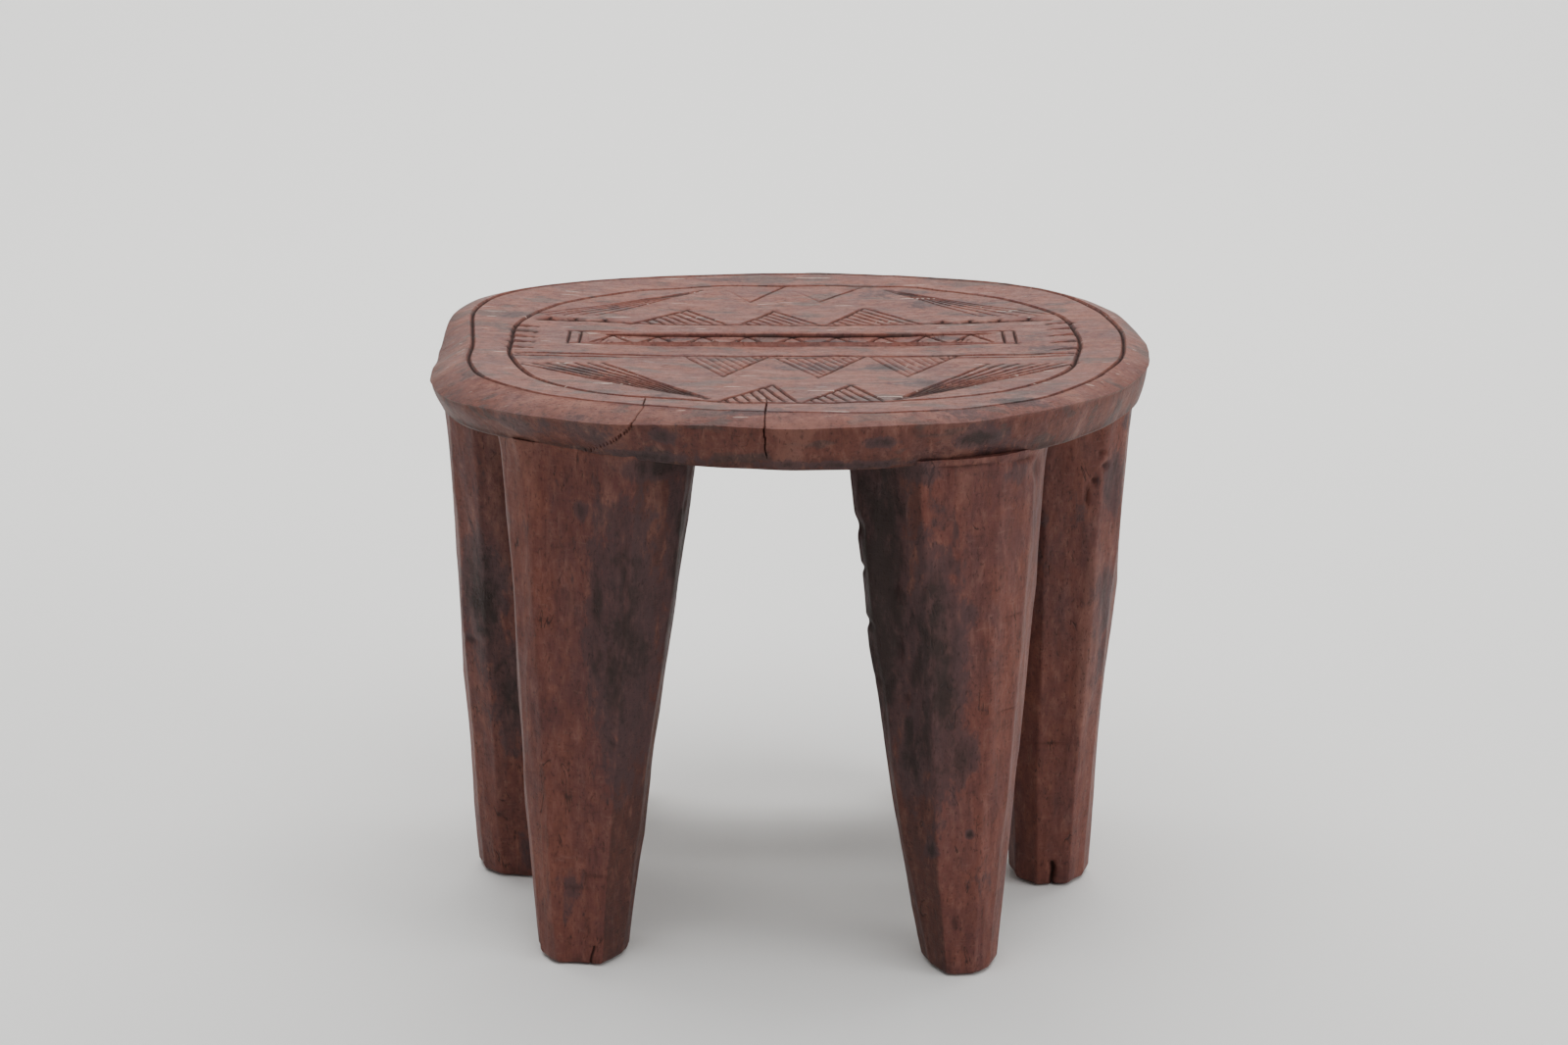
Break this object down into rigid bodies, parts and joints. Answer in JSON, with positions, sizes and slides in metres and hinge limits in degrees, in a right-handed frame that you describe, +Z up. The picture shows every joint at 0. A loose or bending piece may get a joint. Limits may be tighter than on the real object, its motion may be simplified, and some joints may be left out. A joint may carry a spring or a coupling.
{
  "type": "carved wooden stool",
  "caption": "Low carved wooden stool with an oval seat, geometric lines cut into its top, on tapering faceted legs",
  "frame": {"origin": "on the floor under the middle of the seat", "axes": "+X to the right along the seat's long axis, +Y to the back, +Z up"},
  "size_m": [0.406, 0.336, 0.322],
  "materials": {
    "seat_wood": "dry, worn red-brown stain over close-grained hardwood, satin",
    "leg_wood": "dark red-brown stain over adze-cut hardwood, satin"
  },
  "bodies": {
    "root": {"seat": "seat_wood", "leg_front_left": "leg_wood", "leg_front_right": "leg_wood", "leg_side_left": "leg_wood", "leg_side_right": "leg_wood", "leg_rear_left": "leg_wood", "leg_rear_right": "leg_wood"}
  },
  "joints": []
}
